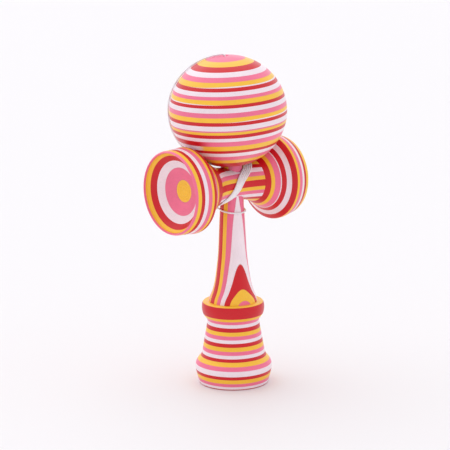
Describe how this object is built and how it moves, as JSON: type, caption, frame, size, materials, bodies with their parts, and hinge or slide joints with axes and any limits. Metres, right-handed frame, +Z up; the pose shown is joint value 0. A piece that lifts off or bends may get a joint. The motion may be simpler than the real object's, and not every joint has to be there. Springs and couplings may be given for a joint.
{
  "type": "kendama",
  "caption": "Wooden cup-and-ball toy: a turned ken with base cup and spike, a crosspiece with two cups, and a bored ball on a string.",
  "frame": {"origin": "middle of the ring that the base stands on, on the ken's axis", "axes": "+Z up the ken to the spike, X along the crosspiece with the big cup at -X, -Y the front"},
  "size_m": [0.0761, 0.0596, 0.1714],
  "materials": {
    "shaft_wood": "dyed maple veneers lying along the shaft, satin lacquer",
    "base_wood": "dyed maple veneers lying flat, satin lacquer",
    "barrel_wood": "dyed maple veneers lying along the crosspiece, satin lacquer",
    "cup_wood": "dyed maple veneers across the crosspiece, satin lacquer",
    "ball_wood": "dyed maple veneers across the ball's axis, gloss lacquer",
    "bead_wood": "plain turned bead",
    "string": "white braided cord"
  },
  "bodies": {
    "ken": {"ken_shaft": "shaft_wood", "base_cup": "base_wood"},
    "crosspiece": {"crosspiece_barrel": "barrel_wood", "big_cup": "cup_wood", "small_cup": "cup_wood", "string_winding": "string", "string_neck_loop": "string"},
    "string_end": {"string_bead": "bead_wood", "string_knot": "string", "string_ball_run": "string"},
    "ball": {"ball": "ball_wood"}
  },
  "joints": [
    {"name": "crosspiece_lift", "type": "slide", "parent": "ken", "child": "crosspiece", "axis": [0, 0, 1], "range_m": [0, 0.056]},
    {"name": "ball_lift", "type": "slide", "parent": "crosspiece", "child": "string_end", "axis": [0, 0, 1], "range_m": [0, 0.042]},
    {"name": "ball_spin", "type": "hinge", "parent": "string_end", "child": "ball", "pos_m": [-0.0018, 0.0001, 0.1421], "axis": [-0.0645, -0.0157, 0.9978], "continuous": true}
  ]
}
